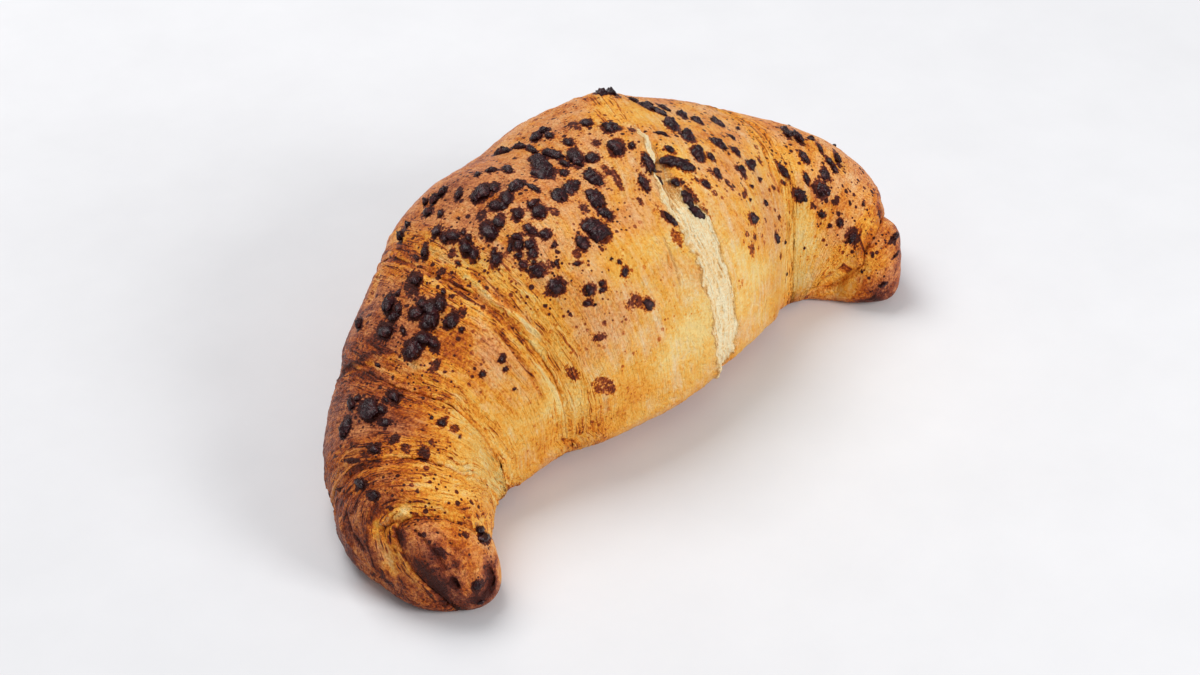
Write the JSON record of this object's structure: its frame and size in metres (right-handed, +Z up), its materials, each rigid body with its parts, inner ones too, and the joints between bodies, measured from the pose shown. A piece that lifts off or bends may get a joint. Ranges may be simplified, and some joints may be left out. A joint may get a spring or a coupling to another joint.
{
  "type": "chocolate croissant",
  "caption": "Baked crescent of rolled, layered dough with a flat foot, stepped wraps, rounded tips and a split in its crust, topped with small pieces of baked chocolate.",
  "frame": {"origin": "on the surface that the pastry lies on, under the middle of its bounding box", "axes": "+X runs from the left tip to the right tip, -Y faces the hollow side of the crescent, +Z is up"},
  "size_m": [0.1644, 0.082, 0.0518],
  "materials": {
    "crust": "egg-washed, baked golden brown, half matt, with layered seams and dark baked chocolate"
  },
  "bodies": {
    "root": {"pastry": "crust"}
  },
  "joints": []
}
